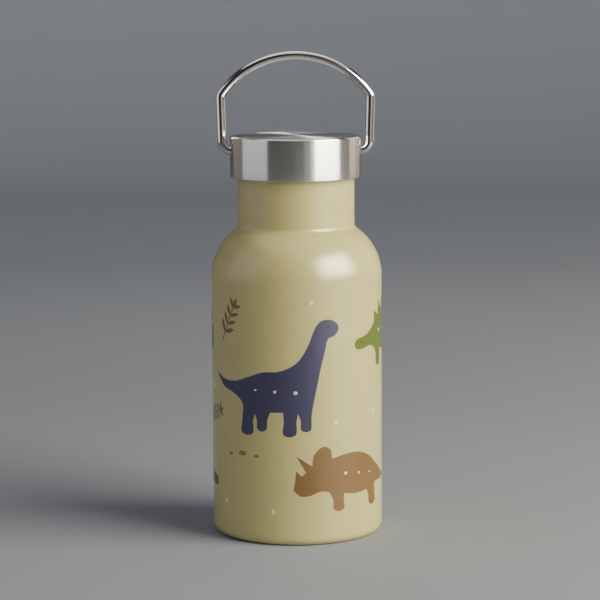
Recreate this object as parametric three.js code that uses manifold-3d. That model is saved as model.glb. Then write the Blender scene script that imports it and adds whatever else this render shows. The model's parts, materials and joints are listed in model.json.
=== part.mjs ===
// A 350 ml insulated children's water bottle with a screw cap and a wire carrying bail.
//
// The bottle is a vacuum flask: a painted steel shell with a welded base cup, and inside it a steel
// liner with its own welded base. The two walls meet only at the lip. The cap is a brushed steel cup
// pressed over a plug moulding, which is filled with foam, seals on the lip with a silicone gasket,
// and screws into the neck with a two-start thread. The bail swings in two blind bores in the plug.
//
// Millimetres, +Z up. The origin is the centre of the ring that the bottle stands on, and the bail
// swings about an axis along X.
import * as THREE from "three";
import { mergeVertices } from "three/addons/utils/BufferGeometryUtils.js";
import Module from "manifold-3d";

const wasm = await Module();
wasm.setup();

// ---- driving dimensions ----
const SEGMENTS = 40; // facets round every turned piece
const FIT_GAP = 0.1; // between pieces that touch on the real bottle

// outer shell and its base cup
const BODY_R = 35;
const NECK_R = 23.9;
const SHELL_WALL = 0.6;
const SHOULDER_Z = 106.1; // where the straight side ends
const SHOULDER_ARC = 23.5;
const NECK_FILLET = 2.5;
const LIP_Z = 151.5; // top of the mouth
const LIP_THICK = 0.8;
const LIP_ROUND = 0.3;
const SHELL_SEAM_Z = 9; // weld between the shell and its base cup
const BASE_CORNER = 3.4;
const FOOT_INNER_R = 27; // inner edge of the ring that the bottle stands on
const RECESS_R = 26.2;
const RECESS_Z = 1.8;
const DIMPLE_R = 6; // a dimple round the hole that the air was drawn out through
const DIMPLE_Z = 3;
const DIMPLE_SLOPE = 1;
const PORT_R = 1;

// inner liner
const LINER_WALL = 0.5;
const LINER_R = 31.6;
const LINER_NECK_R = 21.9;
const LINER_SHOULDER_ARC = SHOULDER_ARC - (BODY_R - LINER_R); // concentric with the shell's
const LINER_FILLET = 3;
const LINER_SEAM_Z = 16;
const LINER_BASE_Z = 7.5;
const LINER_CORNER = 7;

// in and under the base
const BEAD_R = 2.4; // glass bead that seals the hole
const BEAD_THICK = 0.8;
const COVER_R = 25.8;
const COVER_THICK = 0.6;
const GETTER_X = 15;
const CLIP_HALF = 4.3;
const CLIP_HEIGHT = 2.5;
const CLIP_DEPTH = 4;
const CLIP_THICK = 0.3;
const CLIP_LIP = 1.2;

// two-start thread, in the neck and on the plug
const STARTS = 2;
const LEAD = 8; // rise in one whole turn
const PITCH = LEAD / STARTS;
const THREAD_ROOT_WIDTH = 2.2;
const THREAD_CREST_WIDTH = 1.4;
const THREAD_BITE = 0.25; // how deep a thread's root is set into its wall
const THREAD_FADE = 0.08; // share of a turn over which a thread's end sinks into its wall
const NECK_CREST_R = 20.2;
const NECK_THREAD_Z = 139.8;
const NECK_THREAD_TURNS = 1.15;
const PLUG_CREST_R = 20.9;
const PLUG_THREAD_ANGLE = Math.PI / 3;
const PLUG_THREAD_Z = NECK_THREAD_Z + (LEAD * PLUG_THREAD_ANGLE) / (2 * Math.PI) - PITCH / 2;
const PLUG_THREAD_TURNS = 1;

// cap
const CAP_R = 26.85;
const CAP_WALL = 0.5;
const CAP_LOW_Z = 146.5;
const CAP_TOP_Z = 163.4;
const CAP_CROWN = 0.25; // how far the middle of the top stands above its rim
const CAP_CORNER = 0.8;
const HEM_R = 25.4; // inner edge of the hem turned in under the moulding
const PLUG_R = 19.9;
const PLUG_LOW_Z = 137;
const PLUG_CHAMFER = 1;
const SKIRT_INNER_R = 24.4;
const DECK_Z = 153.2; // underside that presses on the gasket
const CORE_TOP_Z = 162.6;
const POCKET_R = 18.1;
const POCKET_TOP_Z = 160.4;
const PLUG_COVER_THICK = 1.5;
const GASKET_INNER_R = 20.2;
const GASKET_OUTER_R = 23.7;
const GASKET_CHAMFER = 0.3;

// bail
const WIRE_R = 1.85;
const WIRE_SIDES = 10;
const WIRE_STEPS = 72;
const PIVOT_Z = 157.3;
const WIRE_END_X = 19.8;
const LEG_LOW_X = 30.1;
const LEG_TOP_X = 30.6;
const LEG_BEND = 3.7;
const CORNER_BEND = 2.8;
const BAIL_ARC = 37.05;
const BAIL_TOP_Z = 196.05; // centre of the wire at the top of the arc
const PIVOT_BORE_R = 2.1;
const BORE_END_X = 19.3;

// ---- materials ----
const material = (color, roughness, metalness) =>
  new THREE.MeshStandardMaterial({ color, roughness, metalness });
const paint = material(0xcfc69a, 0.45, 0);
const brushedSteel = material(0xb9b6b2, 0.3, 1);
const plainSteel = material(0xc4c2be, 0.35, 1);
const polishedWire = material(0xd4d2ce, 0.12, 1);
const plugPlastic = material(0xd9d8d2, 0.5, 0);
const silicone = material(0xe9e9e6, 0.6, 0);
const foamWhite = material(0xf2efe6, 0.9, 0);
const sealGlass = material(0x4a4540, 0.3, 0);
const getterGrey = material(0x5d5f63, 0.8, 0.4);

// ---- helpers ----
const point = (x, y) => new THREE.Vector2(x, y);

// Points along an arc in the (radius, height) plane, both ends included, with angles in degrees.
function arc(centreR, centreZ, radius, from, to, steps) {
  const points = [];
  for (let i = 0; i <= steps; i++) {
    const angle = THREE.MathUtils.degToRad(from + ((to - from) * i) / steps);
    points.push(point(centreR + radius * Math.cos(angle), centreZ + radius * Math.sin(angle)));
  }
  return points;
}

// A (radius, height) outline turned about Z. The outline either starts and ends on the axis or is
// closed here.
function turned(outline) {
  const points = THREE.ShapeUtils.isClockWise(outline) ? outline.slice().reverse() : outline.slice();
  const onAxis = outline[0].x === 0 && outline.at(-1).x === 0;
  if (!onAxis) points.push(points[0].clone());
  return new THREE.LatheGeometry(points, SEGMENTS).rotateX(Math.PI / 2);
}

// A plain bar or disc of the bottle's own axis, from lowZ up to highZ.
const disc = (radius, lowZ, highZ) =>
  turned([point(0, lowZ), point(radius, lowZ), point(radius, highZ), point(0, highZ)]);

// three.js geometry to a manifold-3d solid, and back.
function solid(geometry) {
  const bare = geometry.clone();
  bare.deleteAttribute("normal");
  bare.deleteAttribute("uv");
  const merged = mergeVertices(bare);
  return new wasm.Manifold(
    new wasm.Mesh({
      numProp: 3,
      vertProperties: merged.attributes.position.array,
      triVerts: new Uint32Array(merged.index.array),
    }),
  );
}

function geometryOf(manifold) {
  const mesh = manifold.getMesh();
  const geometry = new THREE.BufferGeometry();
  geometry.setAttribute("position", new THREE.BufferAttribute(mesh.vertProperties, 3));
  geometry.setIndex(new THREE.BufferAttribute(mesh.triVerts, 1));
  geometry.computeVertexNormals();
  return geometry;
}

// The wall line of a bottle, upward: straight side, shoulder arc, small fillet, straight neck.
function bottleLine({ bodyR, neckR, shoulderArc, fillet, lowZ, topZ }) {
  const arcR = bodyR - shoulderArc;
  const filletR = neckR + fillet;
  const filletZ = SHOULDER_Z + Math.sqrt((shoulderArc + fillet) ** 2 - (filletR - arcR) ** 2);
  const meet = THREE.MathUtils.radToDeg(Math.atan2(filletZ - SHOULDER_Z, filletR - arcR));
  return [
    point(bodyR, lowZ),
    ...arc(arcR, SHOULDER_Z, shoulderArc, 0, meet, 5),
    ...arc(filletR, filletZ, fillet, 180 + meet, 180, 2).slice(1),
    point(neckR, topZ),
  ];
}

// The two wall lines of a thin sheet bottle, outside first.
function sheetWall(outside, wall) {
  const inside = {
    ...outside,
    bodyR: outside.bodyR - wall,
    neckR: outside.neckR - wall,
    shoulderArc: outside.shoulderArc - wall,
    fillet: outside.fillet + wall,
  };
  return [bottleLine(outside), bottleLine(inside)];
}

// A bar of tapered section wound round the axis, whose two ends sink into the wall that it stands on.
function threadRib(wallR, crestR, startAngle, startZ, turns) {
  const bar = new THREE.BoxGeometry(1, 1, 1, Math.round(SEGMENTS * turns), 1, 1);
  const position = bar.attributes.position;
  const rootR = wallR + THREAD_BITE * Math.sign(wallR - crestR);
  const buriedR = (wallR + rootR) / 2;
  for (let i = 0; i < position.count; i++) {
    const along = position.getX(i) + 0.5;
    const inward = position.getY(i) + 0.5;
    const towardCrest = crestR > wallR ? 1 - inward : inward;
    const fromEnd = Math.min(along, 1 - along) * turns;
    const peakR = THREE.MathUtils.lerp(buriedR, crestR, Math.min(1, fromEnd / THREAD_FADE));
    const radius = THREE.MathUtils.lerp(rootR, peakR, towardCrest);
    const width = THREE.MathUtils.lerp(THREAD_ROOT_WIDTH, THREAD_CREST_WIDTH, towardCrest);
    const angle = startAngle + along * turns * 2 * Math.PI;
    const z = startZ + LEAD * turns * along + width * position.getZ(i);
    position.setXYZ(i, radius * Math.cos(angle), radius * Math.sin(angle), z);
  }
  return bar;
}

// Every start of a thread, joined to the piece that carries it.
function withThread(body, wallR, crestR, startAngle, startZ, turns) {
  let threaded = solid(body);
  for (let start = 0; start < STARTS; start++) {
    const angle = startAngle + (start * 2 * Math.PI) / STARTS;
    threaded = threaded.add(solid(threadRib(wallR, crestR, angle, startZ, turns)));
  }
  return threaded;
}

// A cutter for the bail's bore in one side of the cap: side is +1 or -1.
function boreCutter(side) {
  const toX = CAP_R + 2;
  const cutter = new THREE.CylinderGeometry(PIVOT_BORE_R, PIVOT_BORE_R, toX - BORE_END_X, 24);
  cutter.rotateZ(Math.PI / 2).translate(((BORE_END_X + toX) / 2) * side, 0, PIVOT_Z);
  return solid(cutter);
}

// ---- bottle ----
function outerShell() {
  const [outside, inside] = sheetWall({
    bodyR: BODY_R,
    neckR: NECK_R,
    shoulderArc: SHOULDER_ARC,
    fillet: NECK_FILLET,
    lowZ: SHELL_SEAM_Z,
    topZ: LIP_Z - LIP_THICK,
  }, SHELL_WALL);
  return turned([...outside, ...inside.reverse()]);
}

function outerBase() {
  const cornerR = BODY_R - BASE_CORNER;
  const underside = [
    point(PORT_R, DIMPLE_Z),
    point(DIMPLE_R - DIMPLE_SLOPE, DIMPLE_Z),
    point(DIMPLE_R, RECESS_Z),
    point(RECESS_R, RECESS_Z),
    point(FOOT_INNER_R, 0),
    ...arc(cornerR, BASE_CORNER, BASE_CORNER, -90, 0, 4),
    point(BODY_R, SHELL_SEAM_Z),
  ];
  const topside = [
    point(BODY_R - SHELL_WALL, SHELL_SEAM_Z),
    ...arc(cornerR, BASE_CORNER, BASE_CORNER - SHELL_WALL, 0, -90, 4),
    point(FOOT_INNER_R + SHELL_WALL, SHELL_WALL),
    point(RECESS_R + SHELL_WALL / 2, RECESS_Z + SHELL_WALL),
    point(DIMPLE_R + SHELL_WALL / 2, RECESS_Z + SHELL_WALL),
    point(DIMPLE_R - DIMPLE_SLOPE, DIMPLE_Z + SHELL_WALL),
    point(PORT_R, DIMPLE_Z + SHELL_WALL),
  ];
  return turned([...underside, ...topside]);
}

function innerLiner() {
  const [outside, inside] = sheetWall({
    bodyR: LINER_R,
    neckR: LINER_NECK_R,
    shoulderArc: LINER_SHOULDER_ARC,
    fillet: LINER_FILLET,
    lowZ: LINER_SEAM_Z,
    topZ: LIP_Z - LIP_THICK,
  }, LINER_WALL);
  const mouthR = LINER_NECK_R - LINER_WALL;
  const lip = [
    point(NECK_R, LIP_Z - LIP_THICK),
    point(NECK_R, LIP_Z - LIP_ROUND),
    point(NECK_R - LIP_ROUND, LIP_Z),
    point(mouthR + LIP_ROUND, LIP_Z),
    point(mouthR, LIP_Z - LIP_ROUND),
  ];
  const body = turned([...outside, ...lip, ...inside.reverse()]);
  return geometryOf(withThread(body, mouthR, NECK_CREST_R, 0, NECK_THREAD_Z, NECK_THREAD_TURNS));
}

function linerBase() {
  const cornerR = LINER_R - LINER_CORNER;
  const cornerZ = LINER_BASE_Z + LINER_CORNER;
  return turned([
    point(0, LINER_BASE_Z),
    ...arc(cornerR, cornerZ, LINER_CORNER, -90, 0, 4),
    point(LINER_R, LINER_SEAM_Z),
    point(LINER_R - LINER_WALL, LINER_SEAM_Z),
    ...arc(cornerR, cornerZ, LINER_CORNER - LINER_WALL, 0, -90, 4),
    point(0, LINER_BASE_Z + LINER_WALL),
  ]);
}

function sealBead() {
  const topZ = DIMPLE_Z - FIT_GAP;
  return turned([
    point(0, topZ - BEAD_THICK),
    point(BEAD_R * 0.6, topZ - BEAD_THICK * 0.8),
    point(BEAD_R, topZ),
    point(0, topZ),
  ]);
}

const baseCover = () =>
  disc(COVER_R, RECESS_Z - FIT_GAP - COVER_THICK, RECESS_Z - FIT_GAP);

const clipFloorZ = RECESS_Z + SHELL_WALL + FIT_GAP;

// A strip bent up at both ends, with lips turned in over the pellet.
function getterClip() {
  const half = [
    point(CLIP_HALF, 0),
    point(CLIP_HALF, CLIP_HEIGHT),
    point(CLIP_HALF - CLIP_LIP, CLIP_HEIGHT),
    point(CLIP_HALF - CLIP_LIP, CLIP_HEIGHT - CLIP_THICK),
    point(CLIP_HALF - CLIP_THICK, CLIP_HEIGHT - CLIP_THICK),
    point(CLIP_HALF - CLIP_THICK, CLIP_THICK),
  ];
  const mirrored = half.map((p) => point(-p.x, p.y)).reverse();
  const strip = new THREE.ExtrudeGeometry(new THREE.Shape([...half, ...mirrored]), {
    depth: CLIP_DEPTH,
    bevelEnabled: false,
  });
  return strip.translate(0, 0, -CLIP_DEPTH / 2).rotateX(Math.PI / 2).translate(GETTER_X, 0, clipFloorZ);
}

function getterPellet() {
  const lowZ = clipFloorZ + CLIP_THICK + FIT_GAP;
  const highZ = clipFloorZ + CLIP_HEIGHT - CLIP_THICK - FIT_GAP;
  const radius = CLIP_HALF - CLIP_THICK - FIT_GAP;
  const pellet = new THREE.CylinderGeometry(radius, radius, highZ - lowZ, 24);
  return pellet.rotateX(Math.PI / 2).translate(GETTER_X, 0, (lowZ + highZ) / 2);
}

// ---- cap ----
// The cap's top as a shallow dome, from the middle out to the rounded corner and down the side.
function capLine(sideR, cornerRadius, sag, lowZ) {
  const rimR = sideR - cornerRadius;
  const crown = [0, 0.5, 0.8].map((share) =>
    point(rimR * share, CAP_TOP_Z - sag + CAP_CROWN * (1 - share ** 2)));
  const corner = arc(rimR, CAP_TOP_Z - sag - cornerRadius, cornerRadius, 90, 0, 3);
  return [...crown, ...corner, point(sideR, lowZ)];
}

function capShell() {
  const outside = capLine(CAP_R, CAP_CORNER, 0, CAP_LOW_Z);
  const insideLowZ = CAP_LOW_Z + CAP_WALL;
  const inside = capLine(CAP_R - CAP_WALL, CAP_CORNER - CAP_WALL, CAP_WALL, insideLowZ);
  const hem = [point(HEM_R, CAP_LOW_Z), point(HEM_R, insideLowZ)];
  let shell = solid(turned([...outside, ...hem, ...inside.reverse()]));
  for (const side of [1, -1]) shell = shell.subtract(boreCutter(side));
  return geometryOf(shell);
}

// The plug moulding: a deep threaded plug, a deck over the gasket and a skirt inside the steel cap.
function capCore() {
  const outerR = CAP_R - CAP_WALL - FIT_GAP;
  const skirtLowZ = CAP_LOW_Z + CAP_WALL + FIT_GAP;
  const body = turned([
    point(0, POCKET_TOP_Z),
    point(POCKET_R, POCKET_TOP_Z),
    point(POCKET_R, PLUG_LOW_Z),
    point(PLUG_R - PLUG_CHAMFER, PLUG_LOW_Z),
    point(PLUG_R, PLUG_LOW_Z + PLUG_CHAMFER),
    point(PLUG_R, DECK_Z),
    point(SKIRT_INNER_R, DECK_Z),
    point(SKIRT_INNER_R, skirtLowZ),
    point(outerR, skirtLowZ),
    point(outerR, CORE_TOP_Z - CAP_CORNER),
    point(outerR - CAP_CORNER, CORE_TOP_Z),
    point(0, CORE_TOP_Z),
  ]);
  let core = withThread(body, PLUG_R, PLUG_CREST_R, PLUG_THREAD_ANGLE, PLUG_THREAD_Z, PLUG_THREAD_TURNS);
  for (const side of [1, -1]) core = core.subtract(boreCutter(side));
  return geometryOf(core);
}

const plugCover = () =>
  disc(POCKET_R - FIT_GAP, PLUG_LOW_Z, PLUG_LOW_Z + PLUG_COVER_THICK);

const plugFoam = () =>
  disc(POCKET_R - FIT_GAP, PLUG_LOW_Z + PLUG_COVER_THICK + FIT_GAP, POCKET_TOP_Z - FIT_GAP);

function lipGasket() {
  const lowZ = LIP_Z + FIT_GAP;
  const highZ = DECK_Z - FIT_GAP;
  return turned([
    point(GASKET_INNER_R, lowZ + GASKET_CHAMFER),
    point(GASKET_INNER_R + GASKET_CHAMFER, lowZ),
    point(GASKET_OUTER_R - GASKET_CHAMFER, lowZ),
    point(GASKET_OUTER_R, lowZ + GASKET_CHAMFER),
    point(GASKET_OUTER_R, highZ - GASKET_CHAMFER),
    point(GASKET_OUTER_R - GASKET_CHAMFER, highZ),
    point(GASKET_INNER_R + GASKET_CHAMFER, highZ),
    point(GASKET_INNER_R, highZ - GASKET_CHAMFER),
  ]);
}

// ---- bail ----
// The wire's centre line in the (X, Z) plane, from one wire end over the top to the other.
function bailLine() {
  const arcZ = BAIL_TOP_Z - BAIL_ARC;
  const bendX = LEG_LOW_X - LEG_BEND;
  const bendZ = PIVOT_Z + LEG_BEND;
  const cornerAngle = Math.acos(LEG_TOP_X / BAIL_ARC);
  const cornerZ = arcZ + BAIL_ARC * Math.sin(cornerAngle);
  const splay = Math.atan2(LEG_TOP_X - LEG_LOW_X, cornerZ - bendZ);
  const ease = CORNER_BEND * Math.tan((cornerAngle + splay) / 2);
  const legTop = point(LEG_TOP_X - ease * Math.sin(splay), cornerZ - ease * Math.cos(splay));
  const arcStart = cornerAngle + ease / BAIL_ARC;
  const arcEnd = point(-BAIL_ARC * Math.cos(arcStart), arcZ + BAIL_ARC * Math.sin(arcStart));
  const line = new THREE.Path();
  line.moveTo(WIRE_END_X, PIVOT_Z);
  line.absarc(bendX, bendZ, LEG_BEND, -Math.PI / 2, -splay);
  line.lineTo(legTop.x, legTop.y);
  line.quadraticCurveTo(LEG_TOP_X, cornerZ, -arcEnd.x, arcEnd.y);
  line.absarc(0, arcZ, BAIL_ARC, arcStart, Math.PI - arcStart);
  line.quadraticCurveTo(-LEG_TOP_X, cornerZ, -legTop.x, legTop.y);
  line.absarc(-bendX, bendZ, LEG_BEND, Math.PI + splay, (3 * Math.PI) / 2);
  line.lineTo(-WIRE_END_X, PIVOT_Z);
  return line;
}

// A flat (X, Z) path stood up in space.
class UprightCurve extends THREE.Curve {
  constructor(path) {
    super();
    this.path = path;
  }

  getPoint(t, target = new THREE.Vector3()) {
    const p = this.path.getPoint(t);
    return target.set(p.x, 0, p.y);
  }
}

function bailHandle() {
  const section = new THREE.Shape().absarc(0, 0, WIRE_R, 0, 2 * Math.PI);
  return new THREE.ExtrudeGeometry(section, {
    steps: WIRE_STEPS,
    curveSegments: WIRE_SIDES / 2,
    extrudePath: new UprightCurve(bailLine()),
  });
}

// ---- assembly ----
function piece(name, geometry, finish) {
  const mesh = new THREE.Mesh(geometry, finish);
  mesh.name = name;
  return mesh;
}

const bottle = new THREE.Group().add(
  piece("outer_shell", outerShell(), paint),
  piece("outer_base", outerBase(), paint),
  piece("inner_liner", innerLiner(), plainSteel),
  piece("liner_base", linerBase(), plainSteel),
  piece("vacuum_seal_bead", sealBead(), sealGlass),
  piece("base_cover_disc", baseCover(), paint),
  piece("getter_clip", getterClip(), plainSteel),
  piece("getter_pellet", getterPellet(), getterGrey),
);

const cap = new THREE.Group().add(
  piece("cap_shell", capShell(), brushedSteel),
  piece("cap_core", capCore(), plugPlastic),
  piece("plug_foam", plugFoam(), foamWhite),
  piece("plug_cover", plugCover(), plugPlastic),
  piece("lip_gasket", lipGasket(), silicone),
  piece("bail_handle", bailHandle(), polishedWire),
);

export default new THREE.Group().add(bottle, cap);
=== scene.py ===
"""The looks of a 350 ml insulated children's water bottle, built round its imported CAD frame.

Every turned piece of the bottle is made again as a fine surface of revolution with rounded edges,
the threads are raised out of their walls, and the print is a set of thin skins wrapped on the
painted shell. Metres, +Z up, the front of the print faces -Y and the bail swings about X.
"""

import json
import math

import bmesh
import bpy
from mathutils import Matrix, Vector
from mathutils.geometry import tessellate_polygon


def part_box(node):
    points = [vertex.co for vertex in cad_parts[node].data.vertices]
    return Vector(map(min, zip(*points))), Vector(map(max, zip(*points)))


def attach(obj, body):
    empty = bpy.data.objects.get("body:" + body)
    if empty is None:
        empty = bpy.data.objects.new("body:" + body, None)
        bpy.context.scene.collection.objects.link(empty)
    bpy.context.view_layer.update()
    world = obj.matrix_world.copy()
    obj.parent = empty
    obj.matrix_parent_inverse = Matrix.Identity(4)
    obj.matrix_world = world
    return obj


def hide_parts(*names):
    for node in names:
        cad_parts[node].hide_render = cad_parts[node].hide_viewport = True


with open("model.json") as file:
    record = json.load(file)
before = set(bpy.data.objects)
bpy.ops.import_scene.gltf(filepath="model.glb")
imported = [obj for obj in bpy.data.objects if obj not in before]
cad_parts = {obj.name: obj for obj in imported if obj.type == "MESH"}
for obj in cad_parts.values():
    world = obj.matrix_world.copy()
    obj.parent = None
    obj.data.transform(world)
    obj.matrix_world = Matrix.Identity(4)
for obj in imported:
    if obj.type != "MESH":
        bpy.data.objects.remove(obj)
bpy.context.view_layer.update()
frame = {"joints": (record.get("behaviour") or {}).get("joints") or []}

MM = 0.001
TAU = 2 * math.pi
SHELL_SEGMENTS = 256
FIT_GAP = 0.1


# ---- sizes, from the frame where it states them ----
def box_mm(node):
    low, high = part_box(node)
    return low / MM, high / MM


shell_high = box_mm("outer_shell")[1]
base_high = box_mm("outer_base")[1]
liner_high = box_mm("inner_liner")[1]
liner_base_low, liner_base_high = box_mm("liner_base")
cap_low, cap_high = box_mm("cap_shell")
core_low, core_high = box_mm("cap_core")
gasket_low, gasket_high = box_mm("lip_gasket")
cover_low, cover_high = box_mm("plug_cover")
disc_low, disc_high = box_mm("base_cover_disc")
bail_high = box_mm("bail_handle")[1]
hinges = {joint["name"]: joint for joint in frame["joints"]}

BODY_R = shell_high.x
NECK_R = 23.9
SHELL_WALL = 0.6
SHOULDER_Z = 106.1
SHOULDER_ARC = 23.5
NECK_FILLET = 2.5
SEAM_Z = base_high.z
LIP_Z = liner_high.z
LIP_THICK = LIP_Z - shell_high.z
BASE_CORNER = 3.4
FOOT_INNER_R = 27
RECESS_R = 26.2
RECESS_Z = 1.8
DIMPLE_R = 6
DIMPLE_Z = 3
PORT_R = 1

LINER_R = liner_high.x
LINER_WALL = 0.5
LINER_NECK_R = 21.9
LINER_FILLET = 3
LINER_CORNER = 7

LEAD = 8
STARTS = 2
THREAD_ROOT_HALF = 1.1
THREAD_CREST_HALF = 0.6
THREAD_FADE = 0.08
NECK_CREST_R = 20.2
NECK_THREAD_Z = 139.8
NECK_THREAD_TURNS = 1.15
PLUG_R = 19.9
PLUG_CREST_R = 20.9
PLUG_THREAD_ANGLE = math.pi / 3
PLUG_THREAD_Z = NECK_THREAD_Z + LEAD * PLUG_THREAD_ANGLE / TAU - LEAD / STARTS / 2

CAP_R = cap_high.x
CAP_WALL = 0.5
CAP_CROWN = 0.25
CAP_CORNER = 0.8
CAP_RIM_Z = cap_high.z - CAP_CROWN
HEM_R = 25.4
SKIRT_INNER_R = 24.4
DECK_Z = 153.2
POCKET_R = 18.1
POCKET_TOP_Z = 160.4
GASKET_INNER_R = 20.2

WIRE_R = bail_high.y
PIVOT_Z = hinges["bail_swing"]["pos_m"][2] / MM
WIRE_END_X = 19.8
LEG_LOW_X = 30.1
LEG_TOP_X = 30.6
LEG_BEND = 3.7
CORNER_BEND = 2.8
BAIL_ARC = 37.05
BAIL_TOP_Z = 196.05
BORE_R = 2.1
BORE_END_X = 19.3


# ---- outlines in the (radius, height) plane, in mm ----
def arc(centre_r, centre_z, radius, start, end, step=6):
    """Points along an arc, both ends included, with angles in degrees."""
    count = max(2, math.ceil(abs(end - start) / step))
    points = []
    for i in range(count + 1):
        angle = math.radians(start + (end - start) * i / count)
        points.append((centre_r + radius * math.cos(angle), centre_z + radius * math.sin(angle)))
    return points


def rounded(corners):
    """A closed outline through (r, z, fillet) corners, each turned into an arc of its fillet radius."""
    outline = []
    for i, (r, z, fillet) in enumerate(corners):
        corner = Vector((r, z))
        if fillet == 0:
            outline.append((r, z))
            continue
        before = (Vector(corners[i - 1][:2]) - corner).normalized()
        after = (Vector(corners[(i + 1) % len(corners)][:2]) - corner).normalized()
        half = before.angle(after) / 2
        centre = corner + (before + after).normalized() * fillet / math.sin(half)
        start = corner + before * fillet / math.tan(half) - centre
        end = corner + after * fillet / math.tan(half) - centre
        turn = start.angle_signed(end) * -1
        count = max(2, math.ceil(abs(math.degrees(turn)) / 15))
        for k in range(count + 1):
            swung = Matrix.Rotation(turn * k / count, 2) @ start
            outline.append(tuple(centre + swung))
    return outline


def dense(low, high, step):
    """Heights from low to high, both included, no further apart than step."""
    count = max(1, math.ceil(abs(high - low) / step))
    return [low + (high - low) * i / count for i in range(count + 1)]


def bottle_line(body_r, neck_r, shoulder_arc, fillet, low_z, top_z):
    """A bottle's wall line, upward: straight side, shoulder arc, small fillet, straight neck."""
    arc_r = body_r - shoulder_arc
    fillet_r = neck_r + fillet
    rise = math.sqrt((shoulder_arc + fillet) ** 2 - (fillet_r - arc_r) ** 2)
    meet = math.degrees(math.atan2(rise, fillet_r - arc_r))
    line = [(body_r, z) for z in dense(low_z, SHOULDER_Z, 6)]
    line += arc(arc_r, SHOULDER_Z, shoulder_arc, 0, meet, 2)[1:]
    line += arc(fillet_r, SHOULDER_Z + rise, fillet, 180 + meet, 180)[1:]
    return line + [(neck_r, top_z)]


# ---- meshes ----
def mesh_object(name, bm, sharp=35):
    """An object from a bmesh in mm, smooth except at edges sharper than sharp degrees."""
    bmesh.ops.recalc_face_normals(bm, faces=bm.faces)
    bmesh.ops.scale(bm, vec=(MM, MM, MM), verts=bm.verts)
    mesh = bpy.data.meshes.new(name)
    bm.to_mesh(mesh)
    bm.free()
    mesh.shade_smooth()
    mesh.set_sharp_from_angle(angle=math.radians(sharp))
    piece = bpy.data.objects.new(name, mesh)
    bpy.context.scene.collection.objects.link(piece)
    return piece


def turned(outline, segments=192, shape=None):
    """A closed outline turned about Z. shape(angle, r, z) may give a point a new radius."""
    bm = bmesh.new()
    rings = []
    for r, z in outline:
        if r < 1e-6:
            rings.append([bm.verts.new((0, 0, z))])
            continue
        ring = []
        for i in range(segments):
            angle = TAU * i / segments
            radius = shape(angle, r, z) if shape else r
            ring.append(bm.verts.new((radius * math.cos(angle), radius * math.sin(angle), z)))
        rings.append(ring)
    for i, lower in enumerate(rings):
        upper = rings[(i + 1) % len(rings)]
        if len(lower) == 1 and len(upper) == 1:
            continue
        for k in range(segments):
            quad = [lower[k % len(lower)], lower[(k + 1) % len(lower)]]
            quad += [upper[(k + 1) % len(upper)], upper[k % len(upper)]]
            bm.faces.new(list(dict.fromkeys(quad)))
    return bm


def thread_height(angle, z, start_angle, start_z, turns):
    """How far up a two-start thread's flank a point of the wall is, from 0 at the root to 1."""
    height = 0
    for start in range(STARTS):
        first = (angle - start_angle - start * TAU / STARTS) % TAU / TAU
        for wind in (0, 1):
            along = first + wind
            if along > turns:
                continue
            off = abs(z - start_z - LEAD * along)
            flank = (THREAD_ROOT_HALF - off) / (THREAD_ROOT_HALF - THREAD_CREST_HALF)
            fade = min(along, turns - along) / THREAD_FADE
            height = max(height, min(1, max(0, flank)) * min(1, fade))
    return height * height * (3 - 2 * height)


def swept_wire(points, radius, sides=24):
    """A round wire along a flat (x, z) line, with rounded ends."""
    bm = bmesh.new()
    rings = []
    count = len(points)
    for i, here in enumerate(points):
        ahead = (points[min(i + 1, count - 1)] - points[max(i - 1, 0)]).normalized()
        across = Vector((ahead.y, -ahead.x))
        ring = []
        for k in range(sides):
            angle = TAU * k / sides
            side = here + across * radius * math.cos(angle)
            ring.append(bm.verts.new((side.x, radius * math.sin(angle), side.y)))
        rings.append(ring)
    for lower, upper in zip(rings, rings[1:]):
        for k in range(sides):
            n = (k + 1) % sides
            bm.faces.new((lower[k], lower[n], upper[n], upper[k]))
    for ring in (rings[0], rings[-1]):
        bm.faces.new(ring)
    return bm


def extruded(outline, depth):
    """A flat (x, z) outline given a depth along Y, centred on Y = 0."""
    bm = bmesh.new()
    face = bm.faces.new([bm.verts.new((x, -depth / 2, z)) for x, z in outline])
    moved = bmesh.ops.extrude_face_region(bm, geom=[face], use_keep_orig=True)["geom"]
    far = [v for v in moved if isinstance(v, bmesh.types.BMVert)]
    bmesh.ops.translate(bm, vec=(0, depth, 0), verts=far)
    return bm


def soften(piece, width, segments=3):
    """Rounds a piece's sharp edges by width mm."""
    bevel = piece.modifiers.new("soft_edges", "BEVEL")
    bevel.width = width * MM
    bevel.segments = segments
    bevel.limit_method = "ANGLE"
    return piece


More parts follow.
